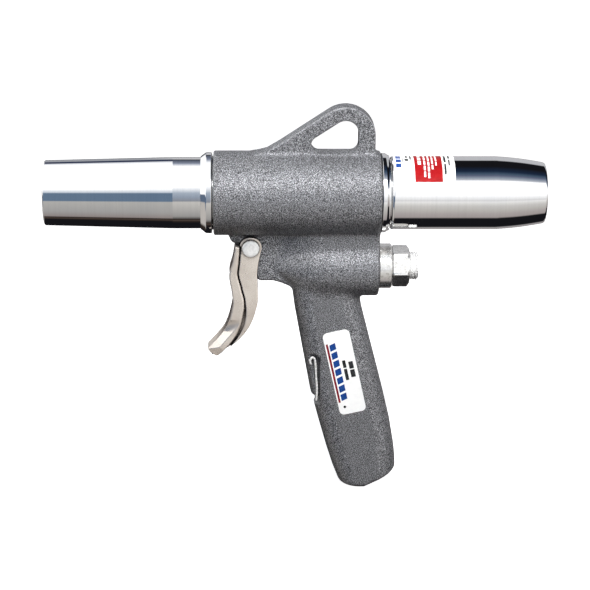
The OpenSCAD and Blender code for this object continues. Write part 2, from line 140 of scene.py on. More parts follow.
def surface_net(field, low, step):
    """Vertices and quads of a sampled field's zero surface, one vertex per crossed cell."""
    inside = field < 0
    cells = np.array(field.shape) - 1
    corners = [(i, j, k) for i in (0, 1) for j in (0, 1) for k in (0, 1)]
    count = sum(
        inside[i : i + cells[0], j : j + cells[1], k : k + cells[2]].astype(np.int8)
        for i, j, k in corners
    )
    active = (count > 0) & (count < 8)
    index = np.argwhere(active)
    ids = np.full(active.shape, -1, np.int64)
    ids[active] = np.arange(len(index))
    total, hits = np.zeros((len(index), 3)), np.zeros(len(index))
    for axis in range(3):
        for corner in corners:
            if corner[axis]:
                continue
            a = index + corner
            b = a.copy()
            b[:, axis] += 1
            fa, fb = field[tuple(a.T)], field[tuple(b.T)]
            crossed = (fa < 0) != (fb < 0)
            t = np.where(crossed, fa / np.where(crossed, fa - fb, 1), 0)
            offset = np.tile(np.array(corner, float), (len(index), 1))
            offset[:, axis] += t
            total += offset * crossed[:, None]
            hits += crossed
    points = low + step * (index + total / hits[:, None])
    faces = []
    for axis in range(3):
        u, v = (axis + 1) % 3, (axis + 2) % 3
        first, second = [slice(None)] * 3, [slice(None)] * 3
        first[axis], second[axis] = slice(None, -1), slice(1, None)
        start, end = inside[tuple(first)], inside[tuple(second)]
        at = np.argwhere(start != end)
        at = at[(at[:, u] > 0) & (at[:, v] > 0) & (at[:, u] < cells[u]) & (at[:, v] < cells[v])]
        out = start[tuple(at.T)]
        ring = []
        for du, dv in ((0, 0), (1, 0), (1, 1), (0, 1)):
            cell = at.copy()
            cell[:, u] -= du
            cell[:, v] -= dv
            ring.append(ids[tuple(cell.T)])
        quad = np.stack(ring, 1)
        faces.append(np.where(out[:, None], quad, quad[:, ::-1]))
    return points, np.concatenate(faces)


def settled(points, field, passes=3):
    """Moves points onto the field's zero surface along its slope."""
    d, flattest, longest_move = 0.02, 0.25, 0.3
    for _ in range(passes):
        x, y, z = points.T
        value = field(x, y, z)
        slope = np.stack(
            [
                field(x + d, y, z) - field(x - d, y, z),
                field(x, y + d, z) - field(x, y - d, z),
                field(x, y, z + d) - field(x, y, z - d),
            ],
            1,
        ) / (2 * d)
        length = np.maximum((slope**2).sum(1), flattest)
        move = slope * (value / length)[:, None]
        points = points - np.clip(move, -longest_move, longest_move)
    return points


def solid_from_field(name, field, low, high, step):
    """Mesh piece of a distance field, kept inside a box. All in millimetres."""
    first, last = np.asarray(low, float) - 2 * step, np.asarray(high, float) + 2 * step
    axes = [np.arange(a, b + step, step) for a, b in zip(first, last)]
    x, y, z = axes[0][:, None, None], axes[1][None, :, None], axes[2][None, None, :]
    sampled = np.broadcast_to(field(x, y, z), tuple(len(a) for a in axes))
    points, quads = surface_net(sampled, first, step)
    return mesh_piece(name, np.clip(settled(points, field), low, high), quads)


# ---- mesh helpers

def mesh_piece(name, points_mm, faces, sharp=None):
    """Object made of points in millimetres, smooth shaded, with edges sharper than an angle kept."""
    points = np.asarray(points_mm, float) * MM
    mesh = bpy.data.meshes.new(name)
    mesh.from_pydata(points.tolist(), [], [list(map(int, f)) for f in faces])
    mesh.validate()
    mesh.polygons.foreach_set("use_smooth", [True] * len(mesh.polygons))
    if sharp is not None:
        mesh.set_sharp_from_angle(angle=math.radians(sharp))
    mesh.update()
    piece = bpy.data.objects.new(name, mesh)
    bpy.context.scene.collection.objects.link(piece)
    return piece


def closed_piece(name, points_mm, faces, sharp=None):
    """Piece like mesh_piece's, with every face turned outwards."""
    piece = mesh_piece(name, points_mm, faces, sharp)
    work = bmesh.new()
    work.from_mesh(piece.data)
    bmesh.ops.recalc_face_normals(work, faces=work.faces)
    work.to_mesh(piece.data)
    work.free()
    return piece


def spline(points, steps):
    """Smooth curve through the points, the same rule as the CAD outlines use."""
    p = np.asarray(points, float)
    n = len(p) - 1
    curve = []
    for k in range(steps * n + 1):
        t = k / steps
        i = min(int(t), n - 1)
        u = t - i
        a, b, c, d = p[max(i - 1, 0)], p[i], p[i + 1], p[min(i + 2, n)]
        bend = (2 * a - 5 * b + 4 * c - d) + u * (3 * b - a - 3 * c + d)
        curve.append(b + 0.5 * u * ((c - a) + u * bend))
    return np.array(curve)


def arc(centre, r, start, end, steps):
    """Points of a circular arc, angles in degrees."""
    angles = np.radians(np.linspace(start, end, steps + 1))
    return np.stack([centre[0] + r * np.cos(angles), centre[1] + r * np.sin(angles)], 1)


def offset_line(line, distance):
    """A line shifted to its left by a distance, which may change along it."""
    slope = np.gradient(line, axis=0)
    slope /= np.linalg.norm(slope, axis=1)[:, None]
    left = np.stack([-slope[:, 1], slope[:, 0]], 1)
    return line + left * distance[:, None]


def corner_curve(before, at, after, r, share, steps):
    """Points that round a corner off within r, and how far the first and last lie from the corner."""
    a, b = before - at, after - at
    la, lb = np.linalg.norm(a), np.linalg.norm(b)
    reach = min(r, la * share, lb * share)
    start, end = a / la * reach, b / lb * reach
    curve = [at + (1 - t) ** 2 * start + t * t * end for t in np.linspace(0, 1, steps + 1)]
    return curve, start, end


def softened(profile, r, steps=3):
    """Closed profile with each of its corners rounded by about r."""
    p = np.asarray(profile, float)
    share, lead = 0.28, 1.7  # a point before and after each corner keeps the flats flat
    out = []
    for before, at, after in zip(np.roll(p, 1, 0), p, np.roll(p, -1, 0)):
        curve, start, end = corner_curve(before, at, after, r, share, steps)
        out += [at + start * lead, *curve, at + end * lead]
    return np.array(out)


def ring_piece(name, outlines, axis_z, sharp):
    """Closed ring about an X axis from one closed outline of (x, radius) for each angle."""
    segments, n = len(outlines), len(outlines[0][1])
    points = [
        (x, r * math.cos(a), axis_z + r * math.sin(a)) for a, outline in outlines for x, r in outline
    ]
    faces = []
    for k in range(segments):
        here, there = k * n, (k + 1) % segments * n
        faces += [(here + s, here + (s + 1) % n, there + (s + 1) % n, there + s) for s in range(n)]
    return closed_piece(name, points, faces, sharp)


def lathe(name, profile, axis_z=0.0, segments=256, r=0.25, sharp=40):
    """Turned ring about an X axis at height axis_z. The profile is a closed outline of (x, radius)."""
    outline = softened(profile, r)
    angles = np.linspace(0, 2 * math.pi, segments, endpoint=False)
    return ring_piece(name, [(a, outline) for a in angles], axis_z, sharp)


def round_wire(name, path, r, sides=16):
    """Round wire along points in millimetres, with domed ends."""
    path = np.asarray(path, float)
    slopes = np.gradient(path, axis=0)
    slopes /= np.linalg.norm(slopes, axis=1)[:, None]
    across = np.cross(slopes[0], [0.3, 0.1, 1.0])
    points = []
    for at, slope in zip(path, slopes):
        across = across - slope * np.dot(across, slope)
        across /= np.linalg.norm(across)
        other = np.cross(slope, across)
        for a in np.linspace(0, 2 * math.pi, sides, endpoint=False):
            points.append(at + r * (math.cos(a) * across + math.sin(a) * other))
    rings = len(path)
    faces = []
    for k in range(rings - 1):
        here, there = k * sides, (k + 1) * sides
        for s in range(sides):
            t = (s + 1) % sides
            faces.append((here + s, here + t, there + t, there + s))
    for ring, at, slope in ((0, path[0], -slopes[0]), (rings - 1, path[-1], slopes[-1])):
        points.append(at + slope * r * 0.5)
        tip, here = len(points) - 1, ring * sides
        faces += [(here + s, here + (s + 1) % sides, tip) for s in range(sides)]
    return closed_piece(name, points, faces)


def bent_path(corners, r, steps):
    """Open path in space with its corners rounded by r."""
    share, least_gap = 0.49, 0.02
    p = [np.asarray(c, float) for c in corners]
    out = [p[0]]
    for before, at, after in zip(p, p[1:], p[2:]):
        out += corner_curve(before, at, after, r, share, steps)[0]
    out.append(p[-1])
    kept = [out[0]]
    for point in out[1:]:
        if np.linalg.norm(point - kept[-1]) > least_gap:
            kept.append(point)
    return kept


# ---- casting

EYE_HALF = 5.5
EYE_R = 17.9
EYE_CENTRE = (BARREL_X1 - 21.3, 36.3)
EYE_SLOPE = 35.4


def eye_outline():
    """Outer outline of the eye plate in X and Z."""
    x0 = BARREL_X0
    toe = [(x0 + 24, 12), (x0 + 24, 24.4), (x0 + 32, 27.2), (x0 + 40, 32.0)]
    rim = arc(EYE_CENTRE, EYE_R, 90 + EYE_SLOPE, 0, 24)
    back = [(EYE_CENTRE[0] + EYE_R, 24.3), (BARREL_X1 - 1.5, 21.5), (BARREL_X1 - 1.5, 12)]
    return np.concatenate([toe, rim, back])


def hull_of_circles(circles, steps=48):
    """Convex outline round circles given as (x, z, r), in order round the shape."""
    angles = np.radians(np.arange(0, 360, 360 / steps))
    ring = np.stack([np.cos(angles), np.sin(angles)], 1)
    points = np.concatenate([np.array(c[:2]) + c[2] * ring for c in circles])
    points = points[np.argsort(points[:, 0])]

    def half(ordered):
        chain = []
        for q in ordered:
            while len(chain) > 1 and np.cross(chain[-1] - chain[-2], q - chain[-2]) <= 0:
                chain.pop()
            chain.append(q)
        return chain[:-1]

    return np.array(half(list(points)) + half(list(points[::-1])))


def eye_hole():
    """Rounded triangle of the eye's hole."""
    x, z = EYE_CENTRE
    return hull_of_circles([(x, z + 1.7, 7.7), (x + 2.7, z - 5.2, 5.0), (x - 15.4, z - 5.2, 5.0)])


def lug_outline():
    """Side view of the narrow lug behind the trigger."""
    x0, low = BARREL_X0, VALVE_Z - 8.1
    return [
        (x0 + 9, -18), (x0 + 9, -26), (x0 + 10.2, -29), (x0 + 11.8, -30.4), (x0 + 16, -31),
        (x0 + 17.8, -33.4), (x0 + 20, -38.5), (x0 + 23, -46), (x0 + 26.4, low + 1), (x0 + 28, low),
        (x0 + 36, low), (x0 + 41, low - 1.5), (x0 + 45.3, low - 3.4), (x0 + 60, low - 10), (x0 + 60, -18),
    ]


def boss_width(x):
    """Half width of the valve boss along X."""
    t = np.clip((x - BARREL_X0 - BOSS_START) / BOSS_LENGTH, 0, 1)
    return LUG_HALF + (BOSS_R - LUG_HALF) * np.sin(np.pi / 2 * t)


def boss_field(x, y, z):
    """Round boss about the valve axis, joined to the barrel by a narrower web."""
    half, web_top, edge = boss_width(x), -14, 2.0
    cylinder = (np.hypot(y, z - VALVE_Z) - half) * 0.9
    web = np.maximum(np.abs(y) - WEB_SHARE * half, np.maximum(VALVE_Z - z, z - web_top))
    side = np.maximum(blend_union(cylinder, web, edge), BARREL_X0 + BOSS_START - x)
    return blend_cut(side, BARREL_X1 - x, edge)


GRIP_STATIONS = [  # height, front X and rear X, from the foot up
    (-192, 180.0, 214.9), (-178, 174.6, 214.4), (-165, 170.5, 213.2), (-147, 165.5, 210.0),
    (-126, 160.0, 205.0), (-98, 154.8, 197.8), (-72, 150.1, 191.1), (-60, 148.5, 189.1),
    (-40, 147.4, 186.6),
]
GRIP_FRONT_R, GRIP_BACK_R, GRIP_TOP = GRIP_HALF - 0.4, 12.0, -40
FOOT_Z, FOOT_BEND_X, FOOT_RISE = -189.8, 194.5, 0.5


def grip_field(x, y, z):
    """Pistol grip: flat sides, a round front and a fuller back, cut square to its lean at the foot."""
    heights, fronts, backs = zip(*GRIP_STATIONS)
    front, back = np.interp(z, heights, fronts), np.interp(z, heights, backs)
    middle, half = (front + back) / 2, (back - front) / 2
    r = np.where(x < middle, GRIP_FRONT_R, GRIP_BACK_R)
    a = np.abs(x - middle) - half + r
    b = np.abs(y) - GRIP_HALF + r
    side = rounded_corner(a, b, r)
    foot = np.maximum((x - FOOT_BEND_X) * FOOT_RISE, 0) + FOOT_Z - z
    return blend_cut(np.maximum(side * 0.97, z - GRIP_TOP), -foot, 3.0)


def latch_pocket(x, y, z):
    """Side pockets for the legs of the bail, and the notch for its cross-bar."""
    u, v = x - BAIL_PIVOT[0], z - BAIL_PIVOT[2]
    ahead, foot, gap = -14, -28, 0.3
    corners = [(5.4, -4), (5.8, -20), (5.6, foot), (ahead, foot), (ahead, 3)]
    pocket = np.concatenate([arc((1.9, 3), 3.9, 180, 0, 10), corners])
    legs = np.maximum(polygon_field(u, v, pocket), BAIL_HALF - WIRE_R - gap - np.abs(y))
    notch = [(ahead, -22.6), (1, -22.6), (5.2, -22), (6.2, -26), (4, foot), (ahead, foot)]
    return np.minimum(legs, polygon_field(u, v, notch))


def valve_bores(x, y, z):
    """Bores for the stem, gland, seat, chamber and cap."""
    radial, along = np.hypot(y, z - VALVE_Z), x - BARREL_X0
    bores = ((0, 36, 2.4), (35, 46, 4.3), (45, 60, 6.4), (59, 101, 9.3), (87, 102, 11.1))
    return np.minimum.reduce([rod(radial, along, low, high, r) for low, high, r in bores])


def casting_field(x, y, z):
    """The whole casting: barrel, eye plate, lug, boss and grip, blended together."""
    wide, narrow, fine, rim = 3.0, 1.6, 0.9, 0.8  # fillets
    radial = np.hypot(y, z)
    solid = rod(radial, x, BARREL_X0, BARREL_X1, BARREL_R, 1.2)
    plate = thick(polygon_field(x, z, eye_outline()), y, EYE_HALF, 0.7)
    solid = blend_union(solid, plate, wide)
    hole = np.maximum(polygon_field(x, z, eye_hole()), BARREL_R - 0.6 - radial)
    solid = blend_cut(solid, hole, rim)
    lug = thick(polygon_field(x, z, lug_outline()), y, LUG_HALF, 1.8)
    lower = blend_union(boss_field(x, y, z), lug, narrow)
    lower = blend_union(lower, grip_field(x, y, z), wide)
    solid = blend_union(solid, lower, narrow)
    solid = blend_cut(solid, latch_pocket(x, y, z), fine)
    solid = np.maximum(solid, SOCKET_R - radial)
    return np.maximum(solid, -valve_bores(x, y, z))


def build_casting():
    step = 0.75
    return solid_from_field("casting", casting_field, CAST_LOW, CAST_HIGH, step)


# ---- trigger

TIP_BEND = (-15.5, -52.5)
TIP_WAY = (-0.634, -0.773)  # direction of the pad below its bend
PAD_FRONT = [(-9.3, 1.0), (-10.7, -8.3), (-12.9, -17.7), (-11.4, -28), (-11.1, -37.5), TIP_BEND,
             (-26.4, -65.8)]
EAR_REAR = [(6.6, -1.2), (4.8, -9.4), (4.0, -17.4), (4.5, -29), (3.9, -37.5), (-0.8, -51),
            (-10.2, -62.2), (-22.8, -70.6)]
WEB_T = [2.4, 2.6, 2.8, 2.9, 3.0, 3.4, 3.6]
RIM_T = [2.6, 3.4, 5.0, 5.8, 7.2, 7.6, 7.6]
GROOVE_AT = [-70, -60, -50, -44, -36]  # heights, and how far behind the rim the groove is there
GROOVE_OFFSET = [1.5, 1.6, 2.3, 2.0, 0.75]
GROOVE_DEPTH = 1.65
BEVEL_TOP, BEVEL_FADE, BEVEL_WIDTH, BEVEL_SLOPE = -46, 8, 4.4, 0.62
TIP_START, TIP_SLOPE = 11, 0.42  # how far below the bend the tip narrows, and how fast
EAR_IN = LUG_HALF + 0.15
EAR_OUT = EAR_IN + 1.8
EAR_R = 6.7
PIN_R = 3.0


def trigger_outlines():
    """Pad, rim and ear outlines in X and Z from the pivot."""
    steps = 8
    front = spline(PAD_FRONT, steps)
    at = np.linspace(0, len(PAD_FRONT) - 1, len(front))
    web = offset_line(front, np.interp(at, range(len(WEB_T)), WEB_T))
    rim = offset_line(front, np.interp(at, range(len(RIM_T)), RIM_T))
    rear = spline(EAR_REAR, steps)
    heel = rear[-1:]
    return (
        np.concatenate([front, heel, web[::-1]]),
        np.concatenate([front, heel, rim[::-1]]),
        np.concatenate([web, rear[::-1]]),
    )


def trigger_field(x, y, z):
    """Lever: a curved pad with rims, two ears with a groove along them, and a bevelled, narrower tip."""
    u, v = x - PIVOT[0], z - PIVOT[2]
    web, rim, ear = trigger_outlines()
    side, from_pivot = np.abs(y), np.hypot(u, v)
    pad = thick(polygon_field(u, v, web), y, PAD_HALF, 1.0)
    rim = polygon_field(u, v, rim)
    rims = thick(rim, side - (EAR_IN + PAD_HALF) / 2, (PAD_HALF - EAR_IN) / 2, 0.8)
    plates = np.minimum(polygon_field(u, v, ear), from_pivot - EAR_R)
    ears = thick(plates, side - (EAR_IN + EAR_OUT) / 2, (EAR_OUT - EAR_IN) / 2, 0.5)
    groove = np.maximum(rim - np.interp(v, GROOVE_AT, GROOVE_OFFSET), EAR_OUT - GROOVE_DEPTH - side)
    ears = np.maximum(ears, -groove)
    du, dv = u - TIP_BEND[0], v - TIP_BEND[1]
    behind, along = dv * TIP_WAY[0] - du * TIP_WAY[1], du * TIP_WAY[0] + dv * TIP_WAY[1]
    bevel = np.clip((BEVEL_TOP - v) / BEVEL_FADE, 0, 1) * np.maximum(BEVEL_WIDTH - behind, 0) * BEVEL_SLOPE
    narrow = np.maximum(along - TIP_START, 0) * TIP_SLOPE
    pad = np.maximum(blend_union(pad, rims, 0.6), (side - PAD_HALF + bevel) * 0.9)
    solid = np.maximum(np.minimum(pad, ears), (side - PAD_HALF + narrow) * 0.9)
    return np.maximum(solid, PIN_R + 0.05 - from_pivot)


def build_trigger():
    step = 0.35
    return solid_from_field("trigger_lever", trigger_field, TRIGGER_LOW, TRIGGER_HIGH, step)


# ---- turned parts

def build_nozzle():
    mouth_r, taper_end, spigot_depth = 19.5, 77, 15
    end, bore, inner = NOZZLE_HIGH[0], mouth_r - TUBE_WALL, SOCKET_R - TUBE_WALL
    profile = [
        (0, bore + 0.4), (0, mouth_r - 0.5), (0.5, mouth_r), (taper_end, SOCKET_R), (end, SOCKET_R),
        (end, inner), (taper_end, inner), (spigot_depth, bore), (0.4, bore),
    ]
    return lathe("suction_tube", profile, r=0.35)


def build_front_collar():
    r, x, neck = BARREL_R - 1.1, BARREL_X0, SOCKET_R + 0.7
    profile = [
        (x - 7.6, SOCKET_R), (x - 7.6, SOCKET_R + 0.5), (x - 4.4, r), (x - 1.2, r), (x - 0.9, r - 0.3),
        (x - 0.9, neck), (x, neck), (x, SOCKET_R),
    ]
    return lathe("front_lock_ring", profile, r=0.3)


def build_rear_collar():
    r, x, neck, lip = BARREL_R - 1.5, BARREL_X1, SOCKET_R + 0.7, SOCKET_R + 1.4
    profile = [
        (x, SOCKET_R), (x, neck), (x + 0.6, neck), (x + 0.6, r), (x + 3, r), (x + 4.4, lip),
        (x + 5.2, lip), (x + 5.2, SOCKET_R),
    ]
    return lathe("rear_lock_ring", profile, r=0.25)


EXHAUST_R = EXHAUST_HIGH[1]
EXHAUST_END_R = 18.5


def build_exhaust():
    bulge = 0.5
    start, end = EXHAUST_LOW[0], EXHAUST_HIGH[0]
    shoulder, taper = BARREL_X1 + 6.3, end - 29.5
    groove, floor = BARREL_X1 + 5.3, SOCKET_R - 0.9
    inner, bore = SOCKET_R - TUBE_WALL, EXHAUST_END_R - TUBE_WALL + 0.3
    bow = []
    for u in np.linspace(0, 1, 13):
        radius = EXHAUST_R + (EXHAUST_END_R - EXHAUST_R) * u + bulge * math.sin(math.pi * u)
        bow.append((taper + (end - 1 - taper) * u, min(radius, EXHAUST_R)))
    profile = [
        (start, inner), (start, SOCKET_R), (groove, SOCKET_R), (groove, floor), (shoulder, floor),
        (shoulder, EXHAUST_R - 0.5), (shoulder + 1.0, EXHAUST_R), *bow, (end, EXHAUST_END_R - 0.6),
        (end, bore), (taper, inner),
    ]
    return lathe("exhaust_pipe", profile, r=0.35)


def build_valve_cap():
    r, x0, x1 = CAP_HIGH[1], BARREL_X1, CAP_HIGH[0]
    bore, thread, plug = 4.2, 7, 11
    profile = [
        (x0 - 13, bore), (x0 - 13, plug), (x0, plug), (x0, r - 0.4), (x0 + 0.4, r), (x1 - 0.7, r),
        (x1, r - 0.7), (x1, thread), (x0 - 4, thread), (x0 - 4, bore),
    ]
    return lathe("valve_cap_ring", profile, axis_z=VALVE_Z, segments=160, r=0.3, sharp=35)


def hex_radius(angle, flat, turn):
    """Radius of a hexagon at an angle, for its half width across flats."""
    return flat / math.cos((angle - turn + math.pi / 6) % (math.pi / 3) - math.pi / 6)


def build_hexagon():
    """Hexagon with turned chamfers and a short neck towards the cap."""
    x0, bore, neck, flat, segments = CAP_HIGH[0], 6.5, 10.2, 11.1, 288
    start, hex_from, hex_to = x0 + 0.02, x0 + 0.6, x0 + 10.6
    corner = flat / math.cos(math.pi / 6)
    turn = math.radians(-22.5)
    limits = [
        (start, bore), (start, neck), (hex_from, neck), (hex_from, corner - 0.6),
        (hex_from + 0.6, corner - 0.08), (hex_to - 1.4, corner - 0.08), (hex_to - 0.2, corner - 1.7),
        (hex_to, corner - 2.1), (hex_to, bore),
    ]
    outlines = []
    for k in range(segments):
        a = turn + 2 * math.pi * k / segments
        outlines.append((a, [(x, min(limit, hex_radius(a, flat, turn))) for x, limit in limits]))
    return ring_piece("inlet_hexagon", outlines, VALVE_Z, sharp=20)


def build_thread():
    """Male thread with a helical ridge, open down the middle."""
    x0, x1 = CAP_HIGH[0] + 10.3, FITTING_HIGH[0]
    crest, root, bore, throat, stub, pitch = 8.6, 7.95, 5.7, 4.2, 6.9, 1.41
    flank, run_out, chamfer = 2.4, 0.9, 0.5
    segments, rows = 144, 72
    inside = [
        (x1, bore + chamfer), (x1 - 0.6, bore), (x0 - 12, bore), (x0 - 12, throat), (x0 - 14, throat),
        (x0 - 14, stub),
    ]
    outlines = []
    for k in range(segments):
        outline = []
        for s in range(rows + 1):
            x = x0 + (x1 - x0) * s / rows
            phase = ((x - x0) / pitch - k / segments) % 1
            ridge = max(0.0, 1 - abs(phase - 0.5) * flank)
            near_end = min(1.0, (x1 - x) / run_out)
            radius = root + (crest - root) * ridge * near_end - chamfer * (1 - near_end)
            outline.append((x, radius))
        outlines.append((2 * math.pi * k / segments, outline + inside))
    return ring_piece("inlet_thread", outlines, VALVE_Z, sharp=50)


def build_pin():
    """Headed pivot pin along Y: turned about X, then swung to Y."""
    head, tail, head_r, centre = -PIN_LOW[1], PIN_HIGH[1], 5.2, 0.01
    profile = [
        (-tail, centre), (-tail, PIN_R - 0.4), (-tail + 0.4, PIN_R), (head - 1.6, PIN_R),
        (head - 1.6, head_r), (head - 0.7, head_r), (head - 0.25, head_r - 0.5), (head - 0.02, 3.2),
        (head, centre),
    ]
    piece = lathe("pivot_pin", profile, segments=96, r=0.2)
    swing = Matrix.Rotation(math.radians(-90), 4, "Z")
    piece.data.transform(Matrix.Translation(Vector(PIVOT) * MM) @ swing)
    return piece


def build_bail():
    """Wire bail: legs with a curl at the pivot ends, joined by a cross-bar."""
    leg = [(0, 0), (-0.5, 2.2), (0.9, 4.2), (2.4, 2.9), (2.9, -1.5), (3.4, -8), (3.9, -17), (3.6, -24.2)]
    steps, stub, bend_r = 8, 3.2, 1.1
    line = [(BAIL_PIVOT[0] + u, -BAIL_HALF, BAIL_PIVOT[2] + v) for u, v in spline(leg, steps)]
    x, y, z = line[0]
    near = [(x, y + stub, z), (x, y, z), *line[4:]]
    far = [(x, -y, z) for x, y, z in near[::-1]]
    return round_wire("latch_wire", bent_path(near + far, bend_r, 4), WIRE_R)


def build_spring():
    """Compression spring between the poppet and the cap."""
    low, high = box_mm("valve_spring")
    wire_r, mean_r, turns, steps = 0.5, 4.7, 6, 32
    start, end = low[0] + wire_r, high[0] - wire_r
    line = []
    for k in range(turns * steps + 1):
        a = 2 * math.pi * k / steps
        x = start + (end - start) * k / (turns * steps)
        line.append((x, mean_r * math.cos(a), VALVE_Z + mean_r * math.sin(a)))
    return round_wire("valve_spring_coil", line, wire_r, sides=10)


def shorten_with_stem(spring):
    """Gives the spring its own copy of its mesh."""
    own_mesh(spring)


# ---- labels

LABEL_TILT = math.radians(12.6)


LABEL_LOW, LABEL_HIGH = box_mm("grip_label")
LABEL_DEPTH = 0.28
FILM_RISE, INK_RISE = 0.08, 0.03
PRINT_TOP, PRINT_FOOT = 20.4, -19.2
DASHES = [  # middle across and up, half width, height
    (1.0, 5.4, 1.0, 5.0), (1.0, -1.6, 1.0, 7.6), (5.0, 4.0, 1.4, 4.8), (5.0, -1.6, 1.4, 5.0),
]


def flat_patch(name, outline, rise=INK_RISE):
    """Thin patch on the grip's near side. The outline is across and up from the label's centre."""
    centre, face_y = (LABEL_LOW + LABEL_HIGH) / 2, LABEL_LOW[1]
    lean, level = math.sin(LABEL_TILT), math.cos(LABEL_TILT)
    points = []
    for y in (face_y + LABEL_DEPTH, face_y - rise):
        for u, v in outline:
            points.append((centre[0] + level * u - lean * v, y, centre[2] + lean * u + level * v))
    n = len(outline)
    faces = [tuple(range(n)), tuple(range(2 * n - 1, n - 1, -1))]
    faces += [(k, (k + 1) % n, n + (k + 1) % n, n + k) for k in range(n)]
    return closed_piece(name, points, faces, sharp=30)


def rounded_rectangle(w, h, r, steps=8):
    """Outline of half width w and half height h, its corners rounded by r."""
    corners = [((w - r, h - r), 0), ((r - w, h - r), 90), ((r - w, r - h), 180), ((w - r, r - h), 270)]
    return np.concatenate([arc(c, r, a, a + 90, steps) for c, a in corners])


def build_grip_label():
    return flat_patch("grip_label_sheet", rounded_rectangle(8.3, 27.6, 3), rise=0.0)


def grip_label_inks():
    """Generic print of the grip label: a stripe, a row of plain bars, short dashes and a dot."""
    left, right = -7.5, -6.2
    corners = [(left, PRINT_FOOT), (right, PRINT_FOOT), (right, PRINT_TOP), (left, PRINT_TOP)]
    stripe = flat_patch("grip_label_stripe", corners)
    bars = []
    left, right, pitch = -5.5, -1.7, 5.6
    for k in range(7):
        top = PRINT_TOP - pitch * k
        outline = [(left, top - 5.2), (right, top - 4.2), (right, top), (left, top - 1.0)]
        bars.append(flat_patch(f"grip_label_bar_{k}", outline))
    dashes = []
    for k, (u, v, w, h) in enumerate(DASHES):
        dashes.append(flat_patch(f"grip_label_dash_{k}", rounded_rectangle(w, h / 2, 0.3, 3) + (u, v)))
    dashes.append(flat_patch("grip_label_dot", arc((-4.4, -22.6), 0.85, 0, 345, 23)))
    return stripe, bars, dashes


(LABEL_X0, _, _), (LABEL_X1, _, _) = box_mm("exhaust_label")
LABEL_A0, LABEL_A1 = 30, 130
BLACK_MARKS = [  # start and width along the tube, first angle and span
    (6.6, 2.2, 76, 8), (7.2, 1.2, 87, 20), (5.2, 0.4, 60, 44), (9.6, 0.9, 80, 26), (29.8, 1.3, 46, 22),
    (29.8, 1.3, 72, 30), (32.4, 1.1, 64, 16), (32.4, 1.1, 84, 20),
]
PALE_ROWS = [  # start and width along the tube, first and last angle
    (14.2, 1.9, 66, 108), (17.6, 1.1, 42, 106), (20.0, 1.1, 40, 104), (22.3, 1.0, 56, 106),
    (24.6, 0.9, 64, 104),
]


def curved_patch(name, x0, x1, a0, a1, r, depth=0.15):
    """Patch wrapped round the exhaust tube, angles in degrees above the near side."""
    steps = max(2, int((a1 - a0) / 1.5))
    points, faces = [], []
    for radius in (r, r - depth):
        for k in range(steps + 1):
            a = math.radians(a0 + (a1 - a0) * k / steps)
            for x in (x0, x1):
                points.append((x, -radius * math.cos(a), radius * math.sin(a)))
    n = 2 * (steps + 1)
    for k in range(steps):
        at = 2 * k
        faces.append((at, at + 1, at + 3, at + 2))
        faces.append((n + at, n + at + 2, n + at + 3, n + at + 1))
        faces.append((at, at + 2, n + at + 2, n + at))
        faces.append((at + 1, n + at + 1, n + at + 3, at + 3))
    faces.append((0, n, n + 1, 1))
    faces.append((n - 2, n - 1, 2 * n - 1, 2 * n - 2))
    return closed_piece(name, points, faces, sharp=30)


def exhaust_label_inks():
    """Generic print of the exhaust label: a red block with pale dashes, blue and black marks, and a grey
    strip of painted shadow along its lower edge.
    """
    r = EXHAUST_R + FILM_RISE + INK_RISE
    red = curved_patch("exhaust_label_block", LABEL_X0 + 12.2, LABEL_X1 - 7.6, 33.5, 118, r)
    blue = [
        curved_patch(f"exhaust_label_blue_{k}", LABEL_X0 + 1.2, LABEL_X0 + 4.4, a, a + 9, r)
        for k, a in enumerate((60, 72, 84, 96))
    ]
    black = []
    for k, (x, w, a, span) in enumerate(BLACK_MARKS):
        x += LABEL_X0
        black.append(curved_patch(f"exhaust_label_black_{k}", x, x + w, a, a + span, r))
    pale = []
    for k, (x, w, start, end) in enumerate(PALE_ROWS):
        x += LABEL_X0
        for n, a in enumerate(range(start, end, 12)):
            name = f"exhaust_label_pale_{k}_{n}"
            pale.append(curved_patch(name, x, x + w, a, a + 9.5, r + 0.02))
    # Painted shadow: a thin grey strip along the label's lower edge.
    edge = curved_patch("exhaust_label_edge_shadow", LABEL_X0, LABEL_X1, LABEL_A0, LABEL_A0 + 0.9, r)
    return red, blue, black, pale, edge


def build_exhaust_label():
    r = EXHAUST_R + FILM_RISE
    return curved_patch("exhaust_label_sheet", LABEL_X0, LABEL_X1, LABEL_A0, LABEL_A1, r)


# ---- shader helpers

